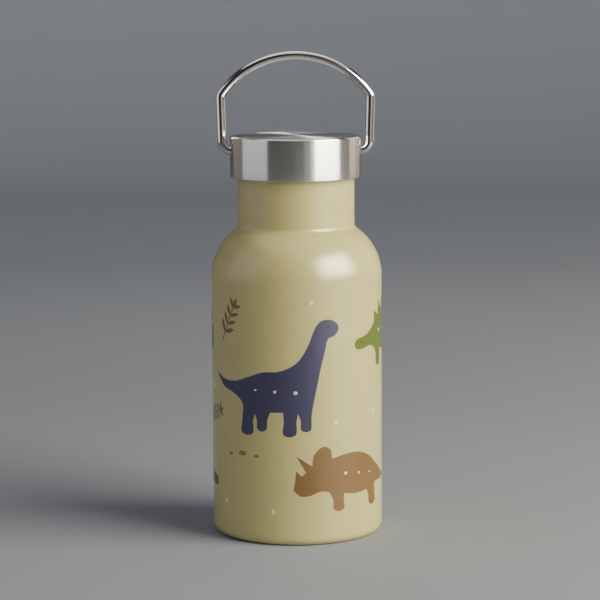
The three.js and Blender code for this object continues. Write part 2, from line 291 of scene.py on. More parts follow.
# ---- materials ----
class Shader:
    """A Principled material, and short calls that wire procedural nodes into it."""

    def __init__(self, name, color, roughness, metallic=0.0, **sockets):
        self.material = bpy.data.materials.new(name)
        self.material.use_nodes = True
        self.tree = self.material.node_tree
        self.surface = self.tree.nodes["Principled BSDF"]
        self.color = (*color, 1)
        self.set("Base Color", self.color)
        self.set("Roughness", roughness)
        self.set("Metallic", metallic)
        for socket, value in sockets.items():
            self.set(socket.replace("_", " ").title().replace("Ior", "IOR"), value)
        self.place = self.node("ShaderNodeTexCoord").outputs["Object"]

    def set(self, socket, value):
        self.surface.inputs[socket].default_value = value

    def node(self, kind, **values):
        made = self.tree.nodes.new(kind)
        for key, value in values.items():
            setattr(made, key, value)
        return made

    def link(self, source, target):
        self.tree.links.new(source, target)

    def math(self, operation, a, b=None):
        made = self.node("ShaderNodeMath", operation=operation)
        for socket, value in zip(made.inputs, (a, b)):
            if isinstance(value, bpy.types.NodeSocket):
                self.link(value, socket)
            elif value is not None:
                socket.default_value = value
        return made.outputs[0]

    def noise(self, size_mm, place=None, detail=2.0, rough=0.5):
        made = self.node("ShaderNodeTexNoise")
        made.inputs["Scale"].default_value = 1 / (size_mm * MM)
        made.inputs["Detail"].default_value = detail
        made.inputs["Roughness"].default_value = rough
        self.link(place or self.place, made.inputs["Vector"])
        return made.outputs["Fac"]

    def spread(self, source, low, high, source_low=0.3, source_high=0.7):
        made = self.node("ShaderNodeMapRange")
        made.inputs["From Min"].default_value = source_low
        made.inputs["From Max"].default_value = source_high
        made.inputs["To Min"].default_value = low
        made.inputs["To Max"].default_value = high
        self.link(source, made.inputs["Value"])
        return made.outputs["Result"]

    def tint(self, source, amount):
        """The base colour made lighter and darker by up to amount."""
        self.shade(self.spread(source, 1 - amount, 1 + amount))

    def shade(self, factor):
        """The base colour multiplied by factor."""
        mixed = self.node("ShaderNodeVectorMath", operation="SCALE")
        mixed.inputs[0].default_value = self.color[:3]
        self.link(factor, mixed.inputs["Scale"])
        self.link(mixed.outputs[0], self.surface.inputs["Base Color"])

    def bump(self, height, depth_mm, strength=1.0):
        made = self.node("ShaderNodeBump")
        made.inputs["Distance"].default_value = depth_mm * MM
        made.inputs["Strength"].default_value = strength
        self.link(height, made.inputs["Height"])
        self.link(made.outputs[0], self.surface.inputs["Normal"])

    def round_lines(self, size_mm, along=60):
        """Noise drawn out round the Z axis: rings on a flat top and hoops on a side wall."""
        parts = self.node("ShaderNodeSeparateXYZ")
        self.link(self.place, parts.inputs[0])
        x, y, z = parts.outputs
        squares = self.math("ADD", self.math("MULTIPLY", x, x), self.math("MULTIPLY", y, y))
        radius = self.math("SQRT", squares)
        drawn = self.node("ShaderNodeCombineXYZ")
        self.link(self.math("DIVIDE", x, float(along)), drawn.inputs[0])
        self.link(self.math("DIVIDE", y, float(along)), drawn.inputs[1])
        self.link(self.math("ADD", radius, z), drawn.inputs[2])
        return self.noise(size_mm, drawn.outputs[0], detail=3.0)


def satin_paint(name, color, grain=0.04):
    """Satin powder paint: a faint orange peel, and a slight unevenness of colour and gloss."""
    shader = Shader(name, color, 0.26, ior=1.5)
    shader.tint(shader.noise(9), grain)
    shader.link(shader.spread(shader.noise(6), 0.252, 0.269), shader.surface.inputs["Roughness"])
    shader.bump(shader.noise(1.6, detail=1.0), 0.001)
    return shader.material


def brushed_steel(name, color, roughness):
    """Steel brushed round its axis, so that its reflections are drawn out up and down."""
    shader = Shader(name, color, roughness, 1.0, anisotropic=1.0, anisotropic_rotation=0.25)
    tangent = shader.node("ShaderNodeTangent", direction_type="RADIAL", axis="Z")
    shader.link(tangent.outputs[0], shader.surface.inputs["Tangent"])
    lines = shader.round_lines(0.25)
    shader.tint(lines, 0.02)
    shader.link(shader.spread(shader.round_lines(0.5), roughness - 0.03, roughness + 0.03),
                shader.surface.inputs["Roughness"])
    shader.bump(lines, 0.0002)
    return shader.material


def polished_steel(name):
    shader = Shader(name, (0.6, 0.585, 0.565), 0.08, 1.0)
    smears = shader.noise(1.5, detail=4.0)
    shader.link(shader.spread(smears, 0.06, 0.11), shader.surface.inputs["Roughness"])
    shader.bump(shader.noise(0.5), 0.0005)
    return shader.material


def satin_steel(name):
    """Electropolished steel, as inside a flask."""
    shader = Shader(name, (0.62, 0.61, 0.59), 0.31, 1.0)
    shader.tint(shader.noise(3), 0.04)
    shader.link(shader.spread(shader.noise(3), 0.29, 0.34), shader.surface.inputs["Roughness"])
    shader.bump(shader.round_lines(0.4), 0.0002)
    return shader.material


def moulded_plastic(name, color):
    shader = Shader(name, color, 0.45, subsurface_weight=0.08)
    shader.tint(shader.noise(4), 0.02)
    shader.link(shader.spread(shader.noise(0.7), 0.4, 0.5), shader.surface.inputs["Roughness"])
    shader.bump(shader.noise(0.25, detail=3.0), 0.006)
    return shader.material


def silicone(name, color):
    shader = Shader(name, color, 0.55, subsurface_weight=0.2)
    shader.tint(shader.noise(2), 0.03)
    shader.bump(shader.noise(0.2), 0.005)
    return shader.material


def open_foam(name, color):
    shader = Shader(name, color, 0.9)
    cells = shader.noise(0.6, detail=4.0, rough=0.7)
    shader.tint(cells, 0.12)
    shader.bump(cells, 0.12)
    return shader.material


def sintered(name, color, roughness):
    shader = Shader(name, color, roughness, 0.3)
    grain = shader.noise(0.15, detail=4.0)
    shader.tint(grain, 0.2)
    shader.bump(grain, 0.03)
    return shader.material


CREAM = (0.62, 0.54, 0.235)
INK = {
    "blue": (0.058, 0.053, 0.118),
    "green": (0.112, 0.157, 0.019),
    "brown": (0.21, 0.116, 0.039),
    "leaf": (0.21, 0.145, 0.07),
    "tan": (0.3, 0.22, 0.09),
    "white": (0.9, 0.87, 0.76),
    "eye": (0.012, 0.012, 0.03),
}
paint = satin_paint("shell_paint", CREAM, 0.02)
inks = {name: satin_paint("print_" + name, color) for name, color in INK.items()}
cap_steel = brushed_steel("cap_steel", (0.66, 0.64, 0.62), 0.24)
wire_steel = polished_steel("bail_wire")
liner_steel = satin_steel("liner_steel")
plug_plastic = moulded_plastic("plug_plastic", (0.72, 0.71, 0.67))
gasket_rubber = silicone("gasket", (0.8, 0.8, 0.78))
foam = open_foam("plug_foam", (0.85, 0.82, 0.74))
seal_glass = sintered("seal_glass", (0.07, 0.06, 0.05), 0.2)
getter_grey = sintered("getter", (0.11, 0.12, 0.12), 0.7)


def finish(piece, body, slot, material, *nodes):
    """Gives a piece its material and its body, and hides the CAD nodes that it stands for. Its slot is not
    used.
    """
    piece.data.materials.clear()
    piece.data.materials.append(material)
    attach(piece, body)
    if nodes:
        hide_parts(*nodes)
    return piece


# ---- bottle ----
def outer_shell():
    outside = bottle_line(BODY_R, NECK_R, SHOULDER_ARC, NECK_FILLET, SEAM_Z, LIP_Z - LIP_THICK)
    inside = bottle_line(BODY_R - SHELL_WALL, NECK_R - SHELL_WALL, SHOULDER_ARC - SHELL_WALL,
                         NECK_FILLET + SHELL_WALL, SEAM_Z, LIP_Z - LIP_THICK)
    piece = mesh_object("painted_shell", turned(outside + inside[::-1], SHELL_SEGMENTS))
    finish(piece, "bottle", "shell_paint", paint, "outer_shell")


def outer_base():
    corner_r = BODY_R - BASE_CORNER
    underside = rounded([
        (PORT_R, DIMPLE_Z, 0),
        (DIMPLE_R - 1, DIMPLE_Z, 0.4),
        (DIMPLE_R, RECESS_Z, 0.4),
        (RECESS_R, RECESS_Z, 0.5),
        (FOOT_INNER_R, 0, 0.5),
        (corner_r, 0, 0),
    ])
    topside = [
        (FOOT_INNER_R + SHELL_WALL, SHELL_WALL),
        (RECESS_R + SHELL_WALL / 2, RECESS_Z + SHELL_WALL),
        (DIMPLE_R + SHELL_WALL / 2, RECESS_Z + SHELL_WALL),
        (DIMPLE_R - 1, DIMPLE_Z + SHELL_WALL),
        (PORT_R, DIMPLE_Z + SHELL_WALL),
    ]
    outline = underside[:-1]
    outline += arc(corner_r, BASE_CORNER, BASE_CORNER, -90, 0)
    outline += [(BODY_R, SEAM_Z), (BODY_R - SHELL_WALL, SEAM_Z)]
    outline += arc(corner_r, BASE_CORNER, BASE_CORNER - SHELL_WALL, 0, -90)
    outline += topside
    piece = mesh_object("base_cup", turned(outline, SHELL_SEGMENTS))
    finish(piece, "bottle", "shell_paint", paint, "outer_base")


def inner_liner():
    arc_r = SHOULDER_ARC - (BODY_R - LINER_R)
    low_z = liner_base_high.z
    top_z = LIP_Z - LIP_THICK
    mouth_r = LINER_NECK_R - LINER_WALL
    outside = bottle_line(LINER_R, LINER_NECK_R, arc_r, LINER_FILLET, low_z, top_z)
    inside = bottle_line(LINER_R - LINER_WALL, mouth_r, arc_r - LINER_WALL,
                         LINER_FILLET + LINER_WALL, low_z, top_z)
    lip = rounded([
        (LINER_NECK_R, top_z, 0),
        (NECK_R, top_z, 0.25),
        (NECK_R, LIP_Z, 0.38),
        (mouth_r, LIP_Z, 0.38),
        (mouth_r, top_z, 0),
    ])
    neck_low = inside[-2][1]
    threaded = [(mouth_r, z) for z in dense(top_z, neck_low, 0.25)]

    def wall(angle, r, z):
        if abs(r - mouth_r) > 0.01 or z > top_z:
            return r
        rise = thread_height(angle, z, 0, NECK_THREAD_Z, NECK_THREAD_TURNS)
        return r - (mouth_r - NECK_CREST_R) * rise

    outline = outside[:-1] + lip[:-1] + threaded + inside[-3::-1]
    piece = mesh_object("steel_liner", turned(outline, shape=wall))
    finish(piece, "bottle", "liner_steel", liner_steel, "inner_liner")


def liner_base():
    corner_r = LINER_R - LINER_CORNER
    low_z = liner_base_low.z
    high_z = liner_base_high.z
    outline = [(0, low_z)]
    outline += arc(corner_r, low_z + LINER_CORNER, LINER_CORNER, -90, 0)
    outline += [(LINER_R, high_z), (LINER_R - LINER_WALL, high_z)]
    outline += arc(corner_r, low_z + LINER_CORNER, LINER_CORNER - LINER_WALL, 0, -90)
    outline += [(0, low_z + LINER_WALL)]
    piece = mesh_object("liner_bottom", turned(outline))
    finish(piece, "bottle", "liner_steel", liner_steel, "liner_base")


def base_cover():
    outline = rounded([
        (0, disc_low.z, 0),
        (disc_high.x, disc_low.z, 0.25),
        (disc_high.x, disc_high.z, 0.1),
        (0, disc_high.z, 0),
    ])
    piece = mesh_object("base_cover", turned(outline))
    finish(piece, "bottle", "shell_paint", paint, "base_cover_disc")


def seal_bead():
    low, high = box_mm("vacuum_seal_bead")
    radius = high.x
    outline = [(0, high.z)] + [
        (radius * math.sin(a), high.z - (high.z - low.z) * math.cos(a))
        for a in (math.pi / 2 * (1 - i / 10) for i in range(11))
    ]
    piece = mesh_object("seal_bead", turned(outline, 64))
    finish(piece, "bottle", "seal_glass", seal_glass, "vacuum_seal_bead")


def getter():
    low, high = box_mm("getter_clip")
    thick = 0.3
    lip = 1.2
    outline = [
        (low.x, low.z), (high.x, low.z), (high.x, high.z), (high.x - lip, high.z),
        (high.x - lip, high.z - thick), (high.x - thick, high.z - thick), (high.x - thick, low.z + thick),
        (low.x + thick, low.z + thick), (low.x + thick, high.z - thick), (low.x + lip, high.z - thick),
        (low.x + lip, high.z), (low.x, high.z),
    ]
    clip = soften(mesh_object("getter_spring_clip", extruded(outline, high.y - low.y)), 0.12)
    finish(clip, "bottle", "liner_steel", liner_steel, "getter_clip")
    low, high = box_mm("getter_pellet")
    outline = rounded([
        (0, low.z, 0), (high.y, low.z, 0.3), (high.y, high.z, 0.3), (0, high.z, 0),
    ])
    pellet = turned(outline, 64)
    bmesh.ops.translate(pellet, vec=((low.x + high.x) / 2, 0, 0), verts=pellet.verts)
    finish(mesh_object("getter_tablet", pellet), "bottle", "getter", getter_grey, "getter_pellet")


# ---- cap ----
def cap_line(side_r, corner, sag):
    """The cap's top from the middle out, its rounded edge, and the top of its side."""
    rim_r = side_r - corner
    crown = [
        (rim_r * share, CAP_RIM_Z - sag + CAP_CROWN * (1 - share ** 2))
        for share in (i / 12 for i in range(12))
    ]
    return crown + arc(rim_r, CAP_RIM_Z - sag - corner, corner, 90, 0)


def drill_bores(piece):
    """Drills the two blind bores that the ends of the wire turn in."""
    far_x = CAP_R + 2
    for side in (1, -1):
        drill = bmesh.new()
        middle = Matrix.Translation((side * (BORE_END_X + far_x) / 2, 0, PIVOT_Z))
        bmesh.ops.create_cone(drill, cap_ends=True, segments=64, radius1=BORE_R, radius2=BORE_R,
                              depth=far_x - BORE_END_X,
                              matrix=middle @ Matrix.Rotation(math.pi / 2, 4, "Y"))
        cutter = mesh_object("drill", drill)
        cut = piece.modifiers.new("bore", "BOOLEAN")
        cut.object = cutter
        cut.operation = "DIFFERENCE"
        cut.solver = "EXACT"
        apply_modifiers(piece)
        bpy.data.objects.remove(cutter)
    piece.data.set_sharp_from_angle(angle=math.radians(35))


def apply_modifiers(piece):
    """Replaces a piece's mesh with the one that its modifiers make."""
    shown = piece.evaluated_get(bpy.context.evaluated_depsgraph_get())
    mesh = bpy.data.meshes.new_from_object(shown)
    piece.modifiers.clear()
    piece.data = mesh


def cap_shell():
    low_z = cap_low.z
    inner_low = low_z + CAP_WALL
    outside = cap_line(CAP_R, CAP_CORNER, 0)
    inside = cap_line(CAP_R - CAP_WALL, CAP_CORNER - CAP_WALL, CAP_WALL)
    hem = rounded([
        (CAP_R, inner_low + 3, 0),
        (CAP_R, low_z, 0.45),
        (HEM_R, low_z, 0.2),
        (HEM_R, inner_low, 0.2),
        (CAP_R - CAP_WALL, inner_low, 0),
    ])
    piece = mesh_object("steel_cap", turned(outside + hem + inside[::-1], SHELL_SEGMENTS))
    drill_bores(piece)
    finish(piece, "cap", "cap_steel", cap_steel, "cap_shell")


def cap_core():
    outer_r = core_high.x
    skirt_z = cap_low.z + CAP_WALL + FIT_GAP
    low_z = core_low.z
    corners = rounded([
        (0, POCKET_TOP_Z, 0),
        (POCKET_R, POCKET_TOP_Z, 0.8),
        (POCKET_R, low_z, 0.2),
        (PLUG_R, low_z, 1.0),
        (PLUG_R, low_z + 1.5, 0),
    ])
    upper = rounded([
        (PLUG_R, DECK_Z - 2, 0),
        (PLUG_R, DECK_Z, 0.2),
        (SKIRT_INNER_R, DECK_Z, 0.3),
        (SKIRT_INNER_R, skirt_z, 0.4),
        (outer_r, skirt_z, 0.3),
        (outer_r, core_high.z, CAP_CORNER),
        (0, core_high.z, 0),
    ])
    threaded = [(PLUG_R, z) for z in dense(low_z + 1.5, DECK_Z - 2, 0.25)]

    def wall(angle, r, z):
        if abs(r - PLUG_R) > 0.01:
            return r
        rise = thread_height(angle, z, PLUG_THREAD_ANGLE, PLUG_THREAD_Z, 1)
        return r + (PLUG_CREST_R - PLUG_R) * rise

    piece = mesh_object("plug_moulding", turned(corners[:-1] + threaded + upper[1:], shape=wall))
    drill_bores(piece)
    finish(piece, "cap", "plug_plastic", plug_plastic, "cap_core")


def plug_disc():
    outline = rounded([
        (0, cover_low.z, 0),
        (cover_high.x, cover_low.z, 0.3),
        (cover_high.x, cover_high.z, 0.1),
        (0, cover_high.z, 0),
    ])
    piece = mesh_object("plug_bottom", turned(outline))
    finish(piece, "cap", "plug_plastic", plug_plastic, "plug_cover")


def foam_block():
    low, high = box_mm("plug_foam")
    outline = rounded([
        (0, low.z, 0), (high.x, low.z, 0.4), (high.x, high.z, 0.4), (0, high.z, 0),
    ])
    piece = mesh_object("foam_block", turned(outline, 96))
    finish(piece, "cap", "plug_foam", foam, "plug_foam")


def gasket():
    outline = rounded([
        (GASKET_INNER_R, gasket_low.z, 0.35),
        (gasket_high.x, gasket_low.z, 0.35),
        (gasket_high.x, gasket_high.z, 0.35),
        (GASKET_INNER_R, gasket_high.z, 0.35),
    ])
    piece = mesh_object("gasket_ring", turned(outline))
    finish(piece, "seal", "gasket", gasket_rubber, "lip_gasket")


# ---- bail ----
def bail_half():
    """Half the wire's centre line, from its end in the cap to the top, as (x, z) points."""
    arc_z = BAIL_TOP_Z - BAIL_ARC
    bend_x = LEG_LOW_X - LEG_BEND
    bend_z = PIVOT_Z + LEG_BEND
    corner_angle = math.acos(LEG_TOP_X / BAIL_ARC)
    corner_z = arc_z + BAIL_ARC * math.sin(corner_angle)
    splay = math.atan2(LEG_TOP_X - LEG_LOW_X, corner_z - bend_z)
    ease = CORNER_BEND * math.tan((corner_angle + splay) / 2)
    leg_top = Vector((LEG_TOP_X - ease * math.sin(splay), corner_z - ease * math.cos(splay)))
    arc_start = corner_angle + ease / BAIL_ARC
    corner = Vector((LEG_TOP_X, corner_z))
    arc_end = Vector((BAIL_ARC * math.cos(arc_start), arc_z + BAIL_ARC * math.sin(arc_start)))
    line = [Vector((WIRE_END_X + (bend_x - WIRE_END_X) * i / 4, PIVOT_Z)) for i in range(4)]
    line += [Vector(p) for p in arc(bend_x, bend_z, LEG_BEND, -90, -math.degrees(splay), 5)]
    foot = line[-1]
    line += [foot.lerp(leg_top, i / 10) for i in range(1, 10)]
    for i in range(9):
        t = i / 8
        line.append(leg_top * (1 - t) ** 2 + corner * (2 * t * (1 - t)) + arc_end * t ** 2)
    sweep = arc(0, arc_z, BAIL_ARC, math.degrees(arc_start), 90, 2)
    return line + [Vector(p) for p in sweep[1:]]


def bail():
    half = bail_half()
    other = [Vector((-p.x, p.y)) for p in half[-2::-1]]
    piece = mesh_object("wire_bail", swept_wire(half + other, WIRE_R), sharp=60)
    finish(soften(piece, 0.3), "bail", "bail_wire", wire_steel, "bail_handle")


# ---- print ----
# An outline is a list of (across, up) points in mm on the unrolled shell. A point is smooth unless
# it is marked CORNER, and "across" grows to the right as the shell is looked at.
CORNER = True
PRINT_PROUD = 0.04
PRINT_DEEP = -0.12
PRINT_STEP = 1.0
SPRIG_PAIRS = 4
LEAF_LEAN = 48


def smooth_outline(points, steps=6):
    """A closed Catmull-Rom line through the points that stops being smooth at each corner."""
    line = []
    count = len(points)
    for i in range(count):
        start, end = points[i], points[(i + 1) % count]
        before, after = points[i - 1], points[(i + 2) % count]
        p1, p2 = Vector(start[:2]), Vector(end[:2])
        p0 = p1 if len(start) > 2 else Vector(before[:2])
        p3 = p2 if len(end) > 2 else Vector(after[:2])
        span = (p2 - p1).length
        out = (p2 - p0) / max((p1 - p0).length + span, 1e-6) * span
        into = (p3 - p1) / max((p3 - p2).length + span, 1e-6) * span
        for k in range(steps):
            t = k / steps
            line.append(p1 * (2 * t ** 3 - 3 * t ** 2 + 1) + out * (t ** 3 - 2 * t ** 2 + t)
                        + p2 * (3 * t ** 2 - 2 * t ** 3) + into * (t ** 3 - t ** 2))
    return line


def placed(line, at, size=1.0, flip=False, turn=0.0):
    """An outline scaled, mirrored and turned about its own origin, then moved to a place."""
    swing = Matrix.Rotation(math.radians(turn), 2)
    side = -1 if flip else 1
    return [swing @ Vector((p.x * side, p.y)) * size + Vector(at) for p in line]


def skin(name, outlines, ink, layer=0):
    """A thin closed skin for each outline, wrapped on the shell's straight side."""
    bm = bmesh.new()
    for line in outlines:
        verts = [bm.verts.new((p.x, p.y, 0)) for p in line]
        for a, b, c in tessellate_polygon([[Vector((p.x, p.y, 0)) for p in line]]):
            bm.faces.new((verts[a], verts[b], verts[c]))
    left = min(v.co.x for v in bm.verts)
    right = max(v.co.x for v in bm.verts)
    for k in range(math.ceil(left / PRINT_STEP), math.ceil(right / PRINT_STEP)):
        bmesh.ops.bisect_plane(bm, geom=bm.verts[:] + bm.edges[:] + bm.faces[:],
                               plane_co=(k * PRINT_STEP, 0, 0), plane_no=(1, 0, 0), dist=1e-5)
    bmesh.ops.recalc_face_normals(bm, faces=bm.faces)
    moved = bmesh.ops.extrude_face_region(bm, geom=bm.faces[:], use_keep_orig=True)["geom"]
    top = PRINT_PROUD * (1 + layer)
    for v in bm.verts:
        v.co.z = PRINT_DEEP
    for v in moved:
        if isinstance(v, bmesh.types.BMVert):
            v.co.z = top
    for v in bm.verts:
        radius = BODY_R + v.co.z
        angle = v.co.x / BODY_R
        v.co = (radius * math.sin(angle), -radius * math.cos(angle), v.co.y)
    finish(mesh_object(name, bm), "bottle", "print_blue" if ink == "eye" else "print_" + ink, inks[ink])


def ellipse(at, wide, high, points=20):
    """A closed oval outline."""
    oval = []
    for i in range(points):
        angle = TAU * i / points
        oval.append(Vector((wide / 2 * math.cos(angle), high / 2 * math.sin(angle))))
    return placed(oval, at)


def star(at, size, turn=0.0):
    """A plain five-pointed star."""
    points = []
    for i in range(10):
        reach = size if i % 2 == 0 else size * 0.45
        points.append(Vector((reach * math.sin(TAU * i / 10), reach * math.cos(TAU * i / 10))))
    return placed(points, at, turn=turn)


def sprig(at, length, turn):
    """A straight stem with pairs of rounded leaves and one leaf at its tip."""
    half = length * 0.014
    stem_end = length * 0.86
    stem = [Vector((0, half)), Vector((stem_end, half)), Vector((stem_end, -half)), Vector((0, -half))]
    shapes = [stem, leaflet(Vector((length * 0.8, 0)), Vector((length, 0)), length * 0.045)]
    for k in range(SPRIG_PAIRS):
        base = Vector((length * (0.2 + 0.58 * k / (SPRIG_PAIRS - 1)), 0))
        reach = length * (0.3 - 0.022 * k)
        for side in (1, -1):
            lean = math.radians(side * LEAF_LEAN)
            tip = base + Vector((math.cos(lean), math.sin(lean))) * reach
            shapes.append(leaflet(base, tip, reach * 0.15))
    return [placed(shape, at, turn=turn) for shape in shapes]


def leaflet(base, tip, half_width, steps=8):
    """A pointed oval leaf from base to tip."""
    along = tip - base
    side = Vector((-along.y, along.x)).normalized() * half_width
    edge = [(i / steps, math.sin(math.pi * i / steps)) for i in range(1, steps)]
    upper = [base + along * t + side * w for t, w in edge]
    lower = [base + along * t - side * w for t, w in edge]
    return [base] + upper + [tip] + lower[::-1]


# Textbook side views, each facing right and drawn about the middle of its body.
LONG_NECK = [
    (25.5, 24.0), (24.6, 26.4), (21.4, 28.0), (17.6, 27.4), (15.2, 24.4), (12.4, 17.6), (8.0, 11.0),
    (1.0, 7.4), (-6.0, 6.8), (-13.0, 4.4), (-20.0, 2.2), (-27.0, 2.4), (-33.5, 4.8, CORNER),
    (-27.0, -0.8), (-20.6, -2.8),
    (-15.8, -6.4), (-15.9, -13.0), (-16.3, -18.0), (-13.4, -19.2), (-10.6, -18.0), (-10.6, -13.0),
    (-9.6, -10.2, CORNER), (-8.8, -13.0), (-8.7, -16.2), (-6.6, -17.3), (-4.6, -16.2), (-4.2, -12.4),
    (-3.0, -9.4, CORNER), (2.4, -9.2, CORNER), (2.6, -13.0), (2.3, -18.0), (5.0, -19.2), (7.6, -18.0),
    (7.8, -13.0), (8.4, -9.6, CORNER), (9.4, -12.8), (9.6, -16.2), (11.6, -17.1), (13.6, -16.2),
    (13.8, -11.0), (14.8, -5.0), (16.2, 1.4), (17.6, 8.0), (19.4, 15.0), (20.8, 20.2), (23.6, 21.4),
]
PLATED = [
    (24.6, -3.4), (23.4, -1.2), (20.0, -0.4), (16.0, 1.0), (11.4, 4.6, CORNER), (11.0, 9.4, CORNER),
    (7.4, 7.2, CORNER), (5.8, 13.0, CORNER), (2.0, 9.0, CORNER), (-0.6, 15.4, CORNER), (-3.8, 9.2, CORNER),
    (-6.8, 13.4, CORNER), (-9.2, 7.2, CORNER), (-12.4, 9.8, CORNER), (-13.8, 4.2, CORNER), (-19.0, 1.8),
    (-25.0, 2.0), (-30.0, 4.4, CORNER), (-25.4, -1.2), (-19.6, -2.8), (-14.9, -5.6), (-14.8, -9.2),
    (-15.0, -12.6), (-12.6, -13.7), (-10.2, -12.6), (-9.9, -9.4), (-8.8, -6.8, CORNER), (-2.0, -7.6),
    (4.6, -6.6, CORNER), (4.8, -9.4), (4.6, -12.6), (7.0, -13.7), (9.3, -12.6), (9.5, -9.0), (11.6, -5.6),
    (15.4, -4.4), (19.4, -5.2), (23.2, -5.2),
]
HORNED = [
    (25.6, -5.0, CORNER), (25.0, -1.4), (24.6, 3.0, CORNER), (22.2, 0.8, CORNER), (20.6, 2.4, CORNER),
    (24.4, 9.0, CORNER), (18.0, 4.8, CORNER), (17.2, 9.4), (13.6, 12.6), (10.4, 11.4), (9.6, 7.4, CORNER),
    (4.0, 8.8), (-3.0, 9.0), (-10.0, 6.6), (-16.0, 2.4), (-21.8, -1.4), (-27.6, -4.8, CORNER),
    (-21.4, -5.4),
    (-15.2, -5.6), (-15.0, -9.6), (-15.2, -13.2), (-12.7, -14.4), (-10.2, -13.2), (-9.8, -9.8),
    (-8.6, -7.4, CORNER), (-2.0, -8.0), (4.2, -7.2, CORNER), (4.3, -10.0), (4.1, -13.2), (6.6, -14.4),
    (9.0, -13.2), (9.2, -9.6), (11.2, -6.2), (15.0, -5.8), (18.6, -7.2), (22.6, -7.4),
]
OUTLINES = {
    "longneck": smooth_outline(LONG_NECK),
    "plated": smooth_outline(PLATED),
    "horned": smooth_outline(HORNED),
}
# Three pale ovals on each animal's flank: the first, the last and the width of the largest, at the
# first. EYES gives the place of its eye.
SPOTS = {
    "longneck": ((7.4, -1.2), (-9.4, -0.6), 1.7),
    "plated": ((6.2, 0.8), (-8.4, 0.8), 1.5),
    "horned": ((3.4, 1.0), (-10.6, -0.4), 1.5),
}
EYES = {"longneck": (20.8, 25.0), "plated": (20.6, -2.4), "horned": (19.2, -0.6)}


def animal(name, kind, ink, at, flip=False, size=1.0):
    """An animal of the print, with its spots and its eye."""
    def own(point):
        return placed([Vector(point)], at, size, flip)[0]

    skin("print_" + name, [placed(OUTLINES[kind], at, size, flip)], ink)
    first, last, wide = SPOTS[kind]
    spots = []
    for i, share in enumerate((0.0, 0.5, 1.0)):
        reach = wide * size * (1 - 0.2 * i)
        spots.append(ellipse(own(Vector(first).lerp(Vector(last), share)), reach, reach * 0.85))
    skin("print_" + name + "_spots", spots, "white", layer=1)
    skin("print_" + name + "_eye", [ellipse(own(EYES[kind]), 0.7, 0.7, points=16)], "eye", layer=1)


def pebbles(name, at):
    """Three ovals in a row, the largest in the middle."""
    row = [(-6.6, 2.1, 1.2), (0, 3.9, 2.0), (6.8, 2.5, 1.4)]
    skin("print_" + name, [ellipse((at[0] + x, at[1] + high), wide, high) for x, wide, high in row], "tan")


def printed_shell():
    animal("longneck_front", "longneck", "blue", (-8.0, 64.0))
    animal("plated_front", "plated", "green", (50.0, 84.0), flip=True)
    animal("horned_front", "horned", "brown", (24.0, 28.0), flip=True)
    animal("horned_left", "horned", "green", (-72.0, 84.0))
    animal("plated_left", "plated", "brown", (-66.0, 26.0))
    animal("longneck_back", "longneck", "blue", (104.0, 52.0), flip=True, size=0.92)
    sprigs = {
        "sprig_front": ((-36.0, 82.0), 20.0, 62),
        "sprig_left": ((-52.0, 48.0), 17.0, 20),
        "sprig_right": ((63.0, 38.0), 20.0, 72),
        "sprig_back": ((104.0, 84.0), 17.0, 45),
        "sprig_low": ((-108.0, 10.0), 17.0, 80),
    }
    for name, (at, length, turn) in sprigs.items():
        skin("print_" + name, sprig(at, length, turn), "leaf")
    pebbles("pebbles_front", (-24.0, 35.0))
    pebbles("pebbles_right", (70.0, 18.0))
    pebbles("pebbles_back", (100.0, 24.0))
    pebbles("pebbles_left", (-74.0, 58.0))
    stars = [
        (6.0, 99.0), (-10.0, 14.0), (-52.0, 97.0), (16.0, 50.0), (52.0, 58.0), (-45.0, 62.0),
        (-34.0, 16.0), (80.0, 99.0), (84.0, 34.0), (-106.0, 66.0), (-84.0, 46.0), (38.0, 52.0),
    ]
    skin("print_stars", [star(at, 1.3, turn=17 * i) for i, at in enumerate(stars)], "white")


# ---- camera, lights and floor ----
PHOTO_DISTANCE = 0.944
PHOTO_HEIGHT = 0.2229
PHOTO_PITCH = 7.68
PHOTO_ROLL = -0.32
PHOTO_ASIDE = 0.0014
PHOTO_LENS = 138.6
SCREEN_R = 1.5
OVERHEAD_R = 1.1
OVERHEAD_Z = 1.6
FLOOR_R = 1.6
COVE_R = 0.5
WALL_TOP_Z = 2.2
FLOOR_SEGMENTS = 96


def camera():
    made = bpy.data.cameras.new("camera")
    made.lens = PHOTO_LENS
    made.sensor_width = 36
    eye = bpy.data.objects.new("camera", made)
    bpy.context.scene.collection.objects.link(eye)
    look = Matrix.Rotation(math.radians(90 - PHOTO_PITCH), 4, "X")
    roll = Matrix.Rotation(math.radians(PHOTO_ROLL), 4, "Z")
    eye.matrix_world = Matrix.Translation((PHOTO_ASIDE, -PHOTO_DISTANCE, PHOTO_HEIGHT)) @ look @ roll
    bpy.context.scene.camera = eye


def direction(azimuth, elevation):
    """A unit vector; azimuth 0 points from the bottle to the front, and grows to the right."""
    a = math.radians(azimuth)
    e = math.radians(elevation)
    return Vector((math.sin(a) * math.cos(e), -math.cos(a) * math.cos(e), math.sin(e)))


def softbox(name, place, size, power, color, aim=(0, 0, 0.1), flip=False):
    """An area light that faces aim, or with flip looks straight away from it.

    Its place is its azimuth, elevation and distance from aim. It lights surfaces, and the screens
    make the reflections.
    """
    azimuth, elevation, distance = place
    made = bpy.data.lights.new(name, "AREA")
    made.shape = "RECTANGLE"
    made.size, made.size_y = size
    made.energy = power
    made.color = color
    light = bpy.data.objects.new(name, made)
    bpy.context.scene.collection.objects.link(light)
    away = direction(azimuth, elevation)
    light.location = Vector(aim) + away * distance
    light.rotation_euler = (-away if flip else away).to_track_quat("Z", "Y").to_euler()
    light.visible_camera = False
    light.visible_glossy = False


